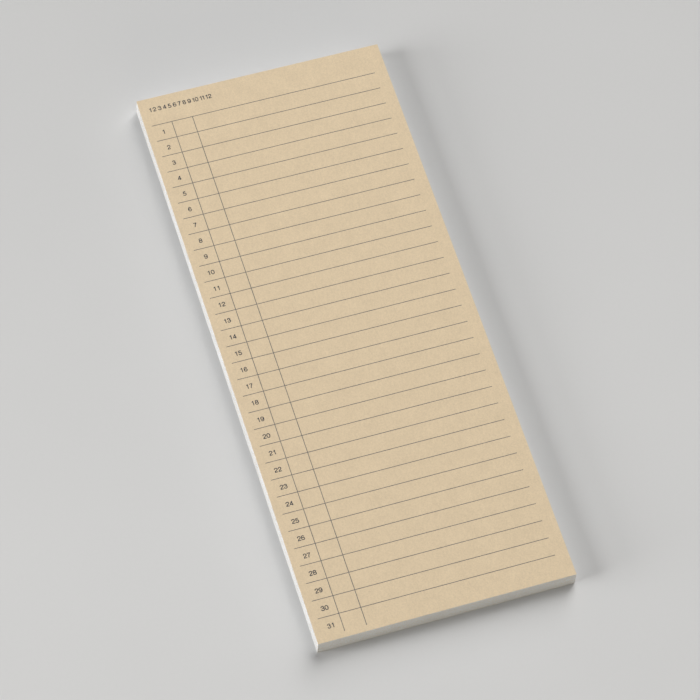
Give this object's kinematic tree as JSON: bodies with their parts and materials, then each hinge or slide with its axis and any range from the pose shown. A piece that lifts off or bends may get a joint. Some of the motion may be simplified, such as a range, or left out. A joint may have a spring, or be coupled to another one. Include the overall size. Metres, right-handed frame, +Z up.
{
  "type": "planner pad",
  "caption": "Tall narrow pad of planner sheets on a thin board, with a tan printed face and a ruled row for each day of a month.",
  "frame": {"origin": "middle of the underside of the backing board, where the pad lies on a desk", "axes": "+X across the page to the right, +Y along the page towards its head, +Z up out of the printed face"},
  "size_m": [0.0866, 0.21, 0.0066],
  "materials": {
    "board": "smooth white-faced pad board, cut flush with the sheets",
    "paper": "matt uncoated white paper, seen at its cut edges",
    "printed_paper": "matt uncoated paper printed with a plain tan ground on its face",
    "ink": "matt dark grey printing ink"
  },
  "bodies": {
    "root": {"backing_board": "board", "sheet_block": "paper", "top_sheet": "printed_paper", "ruled_form": "ink"}
  },
  "joints": []
}
